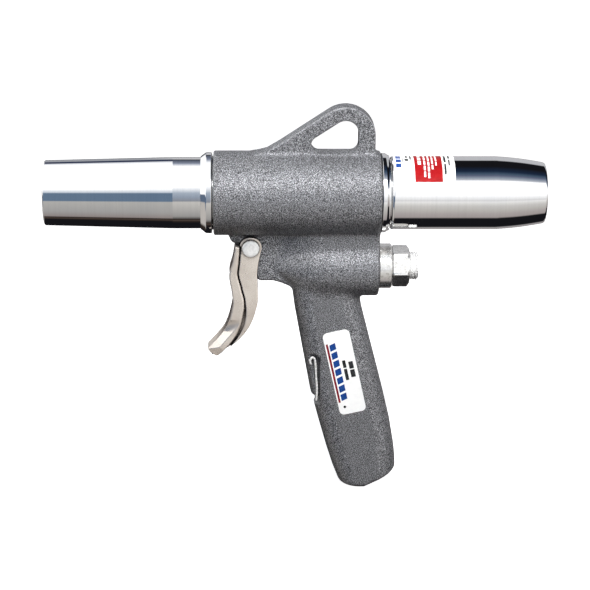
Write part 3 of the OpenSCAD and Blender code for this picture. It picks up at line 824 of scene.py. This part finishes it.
class Nodes:
    """Short ways to add nodes to a node tree."""

    def __init__(self, tree):
        self.tree = tree

    def add(self, kind, inputs=None, **settings):
        made = self.tree.nodes.new(kind)
        for name, value in settings.items():
            setattr(made, name, value)
        for name, value in (inputs or {}).items():
            self.feed(made.inputs[name], value)
        return made

    def feed(self, socket, value):
        if isinstance(value, bpy.types.NodeSocket):
            self.tree.links.new(value, socket)
        elif isinstance(value, tuple) and len(value) == 3 and socket.type == "RGBA":
            socket.default_value = (*value, 1)
        else:
            socket.default_value = value

    def ramp(self, value, *stops):
        made = self.add("ShaderNodeValToRGB", {"Fac": value})
        points = made.color_ramp.elements
        while len(points) < len(stops):
            points.new(1.0)
        for point, (at, colour) in zip(points, stops):
            point.position = at
            point.color = (*colour, 1) if isinstance(colour, tuple) else (colour, colour, colour, 1)
        return made.outputs[0]

    def range(self, value, a, b, low=0.0, high=1.0):
        inputs = {"Value": value, "From Min": a, "From Max": b, "To Min": low, "To Max": high}
        return self.add("ShaderNodeMapRange", inputs).outputs[0]

    def mix(self, share, a, b, how="MIX"):
        made = self.add("ShaderNodeMix", data_type="RGBA", blend_type=how)
        self.feed(made.inputs[0], share)
        self.feed(made.inputs[6], a)
        self.feed(made.inputs[7], b)
        return made.outputs[2]

    def math(self, how, a, b=0.0):
        made = self.add("ShaderNodeMath", operation=how)
        self.feed(made.inputs[0], a)
        self.feed(made.inputs[1], b)
        return made.outputs[0]


class Shader(Nodes):
    """A new material with a principled shader."""

    def __init__(self, name):
        self.material = bpy.data.materials.new(name)
        self.material.use_nodes = True
        super().__init__(self.material.node_tree)
        self.bsdf = self.tree.nodes["Principled BSDF"]
        self.place = self.add("ShaderNodeTexCoord").outputs["Object"]

    def noise(self, scale, detail=2.0, rough=0.5):
        inputs = {"Vector": self.place, "Scale": scale, "Detail": detail, "Roughness": rough}
        return self.add("ShaderNodeTexNoise", inputs).outputs["Fac"]

    def tooling(self, along, around, detail=2.0, rough=0.6):
        """Noise drawn out round the X axis, as a lathe leaves it."""
        scale = {"Vector": self.place, "Scale": (along, around, around)}
        place = self.add("ShaderNodeMapping", scale).outputs[0]
        inputs = {"Vector": place, "Scale": 1.0, "Detail": detail, "Roughness": rough}
        return self.add("ShaderNodeTexNoise", inputs).outputs["Fac"]

    def grains(self, scale):
        inputs = {"Vector": self.place, "Scale": scale}
        return self.add("ShaderNodeTexVoronoi", inputs).outputs["Distance"]

    def across(self, value, low, high):
        """Spreads the middle of a noise from one value to another."""
        return self.range(value, 0.3, 0.7, low, high)

    def bump(self, height, strength, depth_mm):
        inputs = {"Height": height, "Strength": strength, "Distance": depth_mm * MM}
        return self.add("ShaderNodeBump", inputs).outputs[0]

    def painted_crevice_shade(self, reach_mm, low=0.30, high=0.62):
        """Mask for painted shade: 0 deep in a narrow gap, 1 out in the open."""
        inputs = {"Distance": reach_mm * MM}
        open_share = self.add("ShaderNodeAmbientOcclusion", inputs, samples=8).outputs["AO"]
        return self.range(open_share, low, high)

    def edges(self, low, high):
        """0 on flat surfaces, 1 on sharp outer edges."""
        return self.range(self.add("ShaderNodeNewGeometry").outputs["Pointiness"], low, high)

    def finish(self, colour, metallic, rough, normal=None, **more):
        sockets = {"Base_Color": colour, "Metallic": metallic, "Roughness": rough, **more}
        if normal is not None:
            sockets["Normal"] = normal
        for name, value in sockets.items():
            self.feed(self.bsdf.inputs[name.replace("_", " ")], value)
        return self.material


# ---- materials

def hammertone_paint():
    """Grey metallic enamel with a fine pebbled grain and slight wear on its edges, with a painted highlight
    line on the edges and painted shade in its hollows.
    """
    s = Shader("hammertone_grey")
    deep, dark = (0.02, 0.02, 0.022), (0.10, 0.101, 0.108)
    mid, bright = (0.38, 0.387, 0.41), (0.90, 0.91, 0.95)
    grain = s.noise(3000, 1.0)
    pebbles = s.grains(2300)
    speckle = s.math("ADD", grain, s.range(pebbles, 0.0, 0.7, 0.06, -0.06))
    colour = s.ramp(speckle, (0.34, deep), (0.45, dark), (0.55, mid), (0.66, bright))
    drift = s.noise(38, 3.0, 0.55)
    colour = s.mix(s.across(drift, 0.0, 0.10), colour, (0.15, 0.145, 0.15))
    # Painted shade: the paint goes darker deep in hollows and pockets.
    colour = s.mix(s.painted_crevice_shade(6.0, high=0.80), deep, colour)
    # Edges lightened: partly wear, partly a painted highlight line along them.
    wear_and_edge_highlight = s.math("MULTIPLY", s.edges(0.53, 0.59), s.range(s.noise(300, 3.0), 0.35, 0.6, 0.4, 1.0))
    colour = s.mix(wear_and_edge_highlight, colour, (0.62, 0.62, 0.64))
    height = s.math("ADD", s.math("MULTIPLY", pebbles, -0.6), grain)
    return s.finish(colour, 0.7, s.across(speckle, 0.58, 0.46), s.bump(height, 0.4, 0.08))


def polished_metal():
    """Mirror-polished aluminium with faint turning lines and a few soft smears."""
    s = Shader("polished_aluminium")
    lines = s.tooling(2600, 12)
    turning = s.tooling(620, 9, 3.0, 0.65)
    smears = s.noise(55, 4.0, 0.6)
    fine = s.tooling(160, 900, 3.0, 0.7)
    colour = s.ramp(smears, (0.25, (0.90, 0.91, 0.93)), (0.75, (0.97, 0.97, 0.97)))
    colour = s.mix(1.0, colour, s.ramp(turning, (0.32, 0.965), (0.58, 1.0)), "MULTIPLY")
    # Painted shade: near black deep in narrow gaps and grooves.
    colour = s.mix(s.painted_crevice_shade(1.4), (0.012, 0.012, 0.014), colour)
    rough = s.math("ADD", s.range(smears, 0.35, 0.75, 0.03, 0.07), s.range(fine, 0.45, 0.8, 0.0, 0.02))
    rough = s.math("ADD", rough, s.math("MULTIPLY", s.edges(0.52, 0.6), 0.12))
    return s.finish(colour, 1.0, rough, s.bump(lines, 0.05, 0.02))


def warm_nickel():
    """Bright nickel over a cast lever: warm, softly uneven, with small pits."""
    s = Shader("warm_nickel")
    waves = s.noise(90, 3.0, 0.5)
    pits = s.grains(420)
    spots = s.range(pits, 0.05, 0.13, 1.0, 0.0)
    rare = s.range(s.noise(240), 0.56, 0.62)
    pitted = s.math("MULTIPLY", spots, rare)
    colour = s.ramp(waves, (0.3, (0.84, 0.75, 0.67)), (0.7, (0.98, 0.91, 0.84)))
    colour = s.mix(pitted, colour, (0.12, 0.09, 0.07))
    # Painted highlight: edges lightened towards near white.
    colour = s.mix(s.edges(0.54, 0.64), colour, (0.96, 0.95, 0.93))
    # Painted shade: near black in the groove beside the rims and round the pin.
    colour = s.mix(s.painted_crevice_shade(2.2, 0.60, 0.88), (0.012, 0.007, 0.006), colour)
    height = s.math("SUBTRACT", s.math("ADD", waves, s.math("MULTIPLY", s.noise(700), 0.15)), pitted)
    return s.finish(colour, 0.85, s.across(waves, 0.34, 0.22), s.bump(height, 0.22, 0.15))


def bright_pin():
    """Bright steel with a faint fine speckle."""
    s = Shader("bright_pin")
    specks = s.noise(900, 3.0, 0.6)
    colour = s.ramp(specks, (0.3, (0.78, 0.78, 0.77)), (0.6, (0.95, 0.95, 0.94)))
    # Painted shade: near black in narrow gaps.
    colour = s.mix(s.painted_crevice_shade(1.0, high=0.60), (0.02, 0.02, 0.02), colour)
    return s.finish(colour, 0.5, s.across(specks, 0.42, 0.28), s.bump(specks, 0.25, 0.06))


def satin_nickel():
    """Satin nickel plate with fine tooling round the part and darker specks."""
    s = Shader("satin_nickel")
    tooling = s.tooling(1900, 60, rough=0.7)
    blotches = s.noise(500, 4.0, 0.65)
    speck, plate, bright = (0.62, 0.61, 0.59), (0.84, 0.83, 0.81), (0.95, 0.95, 0.94)
    colour = s.ramp(blotches, (0.3, speck), (0.44, plate), (0.7, bright))
    # Painted highlight: edges lightened towards near white.
    colour = s.mix(s.edges(0.53, 0.62), colour, (0.97, 0.97, 0.96))
    # Painted shade: near black in narrow gaps.
    colour = s.mix(s.painted_crevice_shade(1.2), (0.015, 0.015, 0.016), colour)
    return s.finish(
        colour, 0.9, s.across(blotches, 0.26, 0.16), s.bump(s.math("ADD", tooling, blotches), 0.12, 0.03),
    )


def bright_thread():
    """Bright cut thread, with painted shade greying its roots."""
    s = Shader("bright_thread")
    cuts = s.noise(700, 3.0, 0.6)
    colour = s.ramp(cuts, (0.3, (0.95, 0.95, 0.94)), (0.6, (1.0, 1.0, 1.0)))
    # Painted shade: grey in the thread's roots.
    colour = s.mix(s.painted_crevice_shade(0.9), (0.45, 0.45, 0.45), colour)
    return s.finish(colour, 0.5, s.across(cuts, 0.32, 0.22), s.bump(cuts, 0.1, 0.03))


def spring_wire():
    """Bright wire with faint drawing marks."""
    s = Shader("spring_wire")
    drawn = s.noise(700, 3.0, 0.6)
    return s.finish(
        s.ramp(drawn, (0.3, (0.80, 0.80, 0.79)), (0.7, (0.96, 0.96, 0.95))), 0.45,
        s.across(drawn, 0.32, 0.2), s.bump(drawn, 0.2, 0.04),
    )


def turned_metal(name, blotch_scale, tool_scale, dull, bright, rough, strength):
    """Turned metal with tool marks round it and duller, rougher blotches."""
    s = Shader(name)
    blotches = s.noise(blotch_scale, 4.0, 0.6)
    return s.finish(
        s.ramp(blotches, (0.3, dull), (0.7, bright)), 1.0,
        s.across(blotches, *rough), s.bump(s.tooling(2200, tool_scale), strength, 0.05),
    )


def turned_brass():
    return turned_metal("turned_brass", 110, 40, (0.46, 0.33, 0.14), (0.80, 0.62, 0.30), (0.42, 0.25), 0.3)


def plain_steel():
    return turned_metal("plain_steel", 160, 60, (0.40, 0.40, 0.42), (0.66, 0.67, 0.69), (0.38, 0.24), 0.25)


def black_rubber():
    """Matt rubber with a faint bloom."""
    s = Shader("black_rubber")
    bloom = s.noise(500, 4.0, 0.6)
    return s.finish(
        s.ramp(bloom, (0.3, (0.012, 0.012, 0.012)), (0.75, (0.045, 0.045, 0.045))), 0.0,
        s.across(bloom, 0.62, 0.85), s.bump(bloom, 0.3, 0.05),
    )


def printed_film(name, dark, light):
    """Printed film: an even ink with a faint mottle and a low gloss."""
    s = Shader(name)
    mottle = s.noise(420, 3.0, 0.6)
    return s.finish(
        s.ramp(mottle, (0.3, dark), (0.7, light)), 0.0,
        s.across(mottle, 0.4, 0.5), s.bump(s.noise(240), 0.06, 0.02), Specular_IOR_Level=0.2,
    )


# ---- studio

CAMERA_TARGET = Vector((150.39, 0, -65.44)) * MM
CAMERA_DISTANCE = 1.2
CAMERA_AZIMUTH, CAMERA_ELEVATION, CAMERA_ROLL = -1.5, 20, math.radians(0.44)
CAMERA_LENS, SENSOR_WIDTH = 119.49, 36


def from_target(azimuth, elevation):
    """Direction to a point of the studio, in degrees from the near side towards +X, and up."""
    turn, rise = math.radians(azimuth), math.radians(elevation)
    return Vector((math.sin(turn) * math.cos(rise), -math.cos(turn) * math.cos(rise), math.sin(rise)))


def add_camera():
    back = from_target(CAMERA_AZIMUTH, CAMERA_ELEVATION)
    right = (-back).cross(Vector((0, 0, 1))).normalized()
    up = right.cross(-back)
    across = right * math.cos(CAMERA_ROLL) + up * math.sin(CAMERA_ROLL)
    above = up * math.cos(CAMERA_ROLL) - right * math.sin(CAMERA_ROLL)
    data = bpy.data.cameras.new("photo_camera")
    data.lens = CAMERA_LENS
    data.sensor_width = SENSOR_WIDTH
    camera = bpy.data.objects.new("photo_camera", data)
    bpy.context.scene.collection.objects.link(camera)
    turn = Matrix((across, above, back)).transposed().to_4x4()
    camera.matrix_world = Matrix.Translation(CAMERA_TARGET + back * CAMERA_DISTANCE) @ turn
    bpy.context.scene.camera = camera


def add_softbox(name, azimuth, elevation, distance, size, power, spread, target, glossy=False):
    """Square area light with a gridded front, aimed at a point and out of the camera's sight."""
    data = bpy.data.lights.new(name, "AREA")
    data.size = size
    data.energy = power
    data.spread = math.radians(spread)
    light = bpy.data.objects.new(name, data)
    bpy.context.scene.collection.objects.link(light)
    way = from_target(azimuth, elevation)
    light.location = Vector(target) + way * distance
    light.rotation_euler = way.to_track_quat("Z", "Y").to_euler()
    light.visible_glossy = glossy
    light.visible_camera = False


def add_softboxes():
    """A key light for the paint, a small one that shows in gloss, and a wide one from the side."""
    barrel, grip = (0.155, 0, 0), (0.17, 0, -0.1)
    add_softbox("key_softbox", 3, 51, distance=0.62, size=0.25, power=0.88, spread=54, target=barrel)
    add_softbox(
        "gloss_softbox", 3, 45, distance=0.8, size=0.25, power=0.65, spread=180, target=barrel, glossy=True
    )
    add_softbox("side_softbox", 52, 20, distance=1.2, size=0.7, power=2.3, spread=120, target=grip)


def band_stops(*bands):
    """Ramp stops from bands of one or two angles above the near horizontal, and their colour."""
    return [(angle / 360 + 0.5, colour) for *angles, colour in bands for angle in angles]


BLACK, DARK, STREAK = (0.008, 0.008, 0.01), (0.03, 0.022, 0.018), (0.09, 0.065, 0.055)
WHITE, LIGHT = (1.2, 1.2, 1.2), (0.52, 0.52, 0.54)
LEFT_BANDS = band_stops(
    (-180, -90, BLACK), (-87, -84, DARK), (-82.5, -81.5, STREAK), (-80, -76.5, DARK),
    (-73, (0.28, 0.24, 0.23)), (-50, (0.37, 0.36, 0.35)), (-14, (0.45, 0.44, 0.42)),
    (-11, 15, (0.125, 0.185, 0.27)), (17, (0.5, 0.56, 0.64)), (30, 128, WHITE),
    (139, (0.6, 0.62, 0.68)), (142, 152, (0.03, 0.04, 0.08)), (156, 180, (0.34, 0.35, 0.38)),
)
MIDDLE_BANDS = band_stops(
    (-180, -96, BLACK), (-90, -86, DARK), (-84.5, -83, STREAK), (-81, -78, DARK),
    (-65, (0.32, 0.31, 0.30)), (-13, (0.57, 0.55, 0.52)), (-10, (0.26, 0.275, 0.31)),
    (3, (0.30, 0.35, 0.43)), (16, (0.40, 0.46, 0.54)), (36, 110, WHITE),
    (125, (0.30, 0.33, 0.42)), (135, 143, (0.13, 0.15, 0.20)), (149, 152, BLACK), (154, 180, LIGHT),
)
RIGHT_BANDS = band_stops(
    (-180, -127, (0.34, 0.32, 0.32)), (-119, -72, BLACK), (-67, (0.36, 0.32, 0.31)),
    (-54, (0.41, 0.37, 0.36)), (-40, (0.50, 0.48, 0.45)), (-26, (0.60, 0.58, 0.56)),
    (-19, (0.72, 0.71, 0.68)), (-12, (0.86, 0.85, 0.84)), (-8, (0.70, 0.69, 0.69)),
    (-5, (0.82, 0.82, 0.82)), (3, (1.0, 1.0, 1.0)), (10, 54, WHITE), (58, (0.48, 0.50, 0.56)),
    (65, (0.26, 0.30, 0.37)), (72, (0.11, 0.13, 0.20)), (79, (0.055, 0.09, 0.14)),
    (88, (0.011, 0.022, 0.05)), (108, 137, BLACK), (142, 180, LIGHT),
)
END_BANDS = band_stops(
    (-180, -125, DARK), (-115, -44, (0.50, 0.47, 0.44)), (-38, 2, (0.11, 0.15, 0.22)), (8, 180, WHITE),
)


def set_world():
    """White for the camera, banded studio reflections for glossy surfaces and a soft fill for matt ones."""
    world = bpy.data.worlds.new("studio")
    bpy.context.scene.world = world
    world.use_nodes = True
    s = Nodes(world.node_tree)
    direction = s.add("ShaderNodeTexCoord").outputs["Generated"]
    parts = s.add("ShaderNodeSeparateXYZ", {"Vector": direction}).outputs
    angle = s.math("ARCTAN2", parts["Z"], s.math("MULTIPLY", parts["Y"], -1))
    turn = s.math("ADD", s.math("DIVIDE", angle, 2 * math.pi), 0.5)
    left, middle = s.ramp(turn, *LEFT_BANDS), s.ramp(turn, *MIDDLE_BANDS)
    right, end = s.ramp(turn, *RIGHT_BANDS), s.ramp(turn, *END_BANDS)
    glossy = s.mix(s.range(parts["X"], -0.062, -0.048), left, middle)
    glossy = s.mix(s.range(parts["X"], 0.0, 0.05), glossy, right)
    glossy = s.mix(s.range(parts["X"], -0.36, -0.28), end, glossy)
    fill = s.mix(s.range(parts["Z"], -0.3, 0.9), (0.006, 0.006, 0.007), (0.06, 0.063, 0.07))
    rays = s.add("ShaderNodeLightPath").outputs
    colour = s.mix(rays["Is Glossy Ray"], fill, glossy)
    colour = s.mix(rays["Is Camera Ray"], colour, (1.0, 1.0, 1.0))
    s.feed(s.tree.nodes["Background"].inputs["Color"], colour)


def add_floor():
    """Plain white floor, seen by the camera only."""
    reach, z = 6000, CAST_LOW[2] - 0.5
    corners = [(-reach, -reach, z), (reach, -reach, z), (reach, reach, z), (-reach, reach, z)]
    floor = mesh_piece("studio_floor", corners, [(0, 1, 2, 3)])
    s = Shader("studio_floor")
    tone = s.ramp(s.noise(2.0), (0.3, 0.93), (0.7, 0.95))
    glow = {"Emission_Color": (1.0, 1.0, 1.0), "Emission_Strength": 1.0}
    floor.data.materials.append(s.finish(tone, 0.0, 0.9, **glow))
    floor.visible_diffuse = False
    floor.visible_glossy = False


def set_tones():
    view = bpy.context.scene.view_settings
    view.view_transform = "Standard"
    view.look = "None"


# ---- assembly

def dress(piece, material):
    """Gives a piece or a CAD node its material and slot."""
    piece.data.materials.clear()
    piece.data.materials.append(material)


def place(piece, body, slot, material, *nodes):
    """Gives a piece its material and body, and hides the CAD nodes it stands for. The slot argument is not
    used.
    """
    dress(piece, material)
    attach(piece, body)
    if nodes:
        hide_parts(*nodes)
    return piece


def dress_inner_parts(brass, steel, rubber):
    """Materials for the CAD nodes that stay as they are."""
    looks = {
        "brass": (brass, ["venturi_inlet", "venturi_throat", "valve_seat", "stem_gland"]),
        "plain_steel": (steel, ["venturi_spacer", "trigger_pin_clip", "valve_stem"]),
        "rubber": (
            rubber, ["venturi_seal_front", "venturi_seal_rear", "poppet_seal", "stem_seal", "cap_seal"],
        ),
    }
    for slot, (material, nodes) in looks.items():
        for name in nodes:
            dress(frame["nodes"][name], material)


def build_all():
    metal, nickel, satin = polished_metal(), warm_nickel(), satin_nickel()
    place(build_casting(), "gun", "casting_paint", hammertone_paint(), "body_casting")
    for build, node in (
        (build_nozzle, "nozzle_tube"), (build_front_collar, "front_collar"),
        (build_rear_collar, "rear_collar"), (build_exhaust, "exhaust_tube"),
    ):
        place(build(), "gun", "polished_aluminium", metal, node)
    place(build_trigger(), "trigger", "nickel_trigger", nickel, "trigger")
    place(build_pin(), "gun", "pin_steel", bright_pin(), "trigger_pin")
    place(build_valve_cap(), "gun", "nickel_fitting", satin, "valve_cap")
    place(build_hexagon(), "gun", "nickel_fitting", satin, "inlet_fitting")
    place(build_thread(), "gun", "nickel_fitting", bright_thread())
    place(build_bail(), "latch_bail", "wire_steel", spring_wire(), "latch_bail")
    steel = plain_steel()
    spring = place(build_spring(), "gun", "plain_steel", steel, "valve_spring")
    shorten_with_stem(spring)
    dress_labels()
    dress_inner_parts(turned_brass(), steel, black_rubber())


def place_print(slot, *groups):
    """Places the printed patches of one label, each group with its ink."""
    for pieces, ink in groups:
        for piece in pieces:
            place(piece, "gun", slot, ink)


def dress_labels():
    """The two labels and their print."""
    white = printed_film("white_film", (0.92, 0.92, 0.92), (0.97, 0.97, 0.96))
    red = printed_film("red_ink", (0.25, 0.004, 0.006), (0.32, 0.008, 0.010))
    wine = printed_film("wine_ink", (0.16, 0.012, 0.02), (0.26, 0.03, 0.04))
    blue = printed_film("blue_ink", (0.008, 0.040, 0.20), (0.016, 0.068, 0.28))
    black = printed_film("black_ink", (0.012, 0.012, 0.014), (0.035, 0.035, 0.038))
    place(build_grip_label(), "gun", "grip_label_film", white, "grip_label")
    stripe, bars, dashes = grip_label_inks()
    place_print("grip_label_film", ([stripe], wine), (bars, blue), (dashes, black))
    place(build_exhaust_label(), "gun", "exhaust_label_film", white, "exhaust_label")
    block, blues, blacks, pales, edge = exhaust_label_inks()
    # Grey ink for the painted shadow strip along the label's lower edge.
    grey = printed_film("label_edge_shadow_grey", (0.42, 0.42, 0.42), (0.55, 0.55, 0.54))
    place_print(
        "exhaust_label_film", ([edge], grey), ([block], red), (blues, blue), (blacks, black), (pales, white)
    )


add_camera()
set_tones()
set_world()
add_floor()
add_softboxes()
build_all()
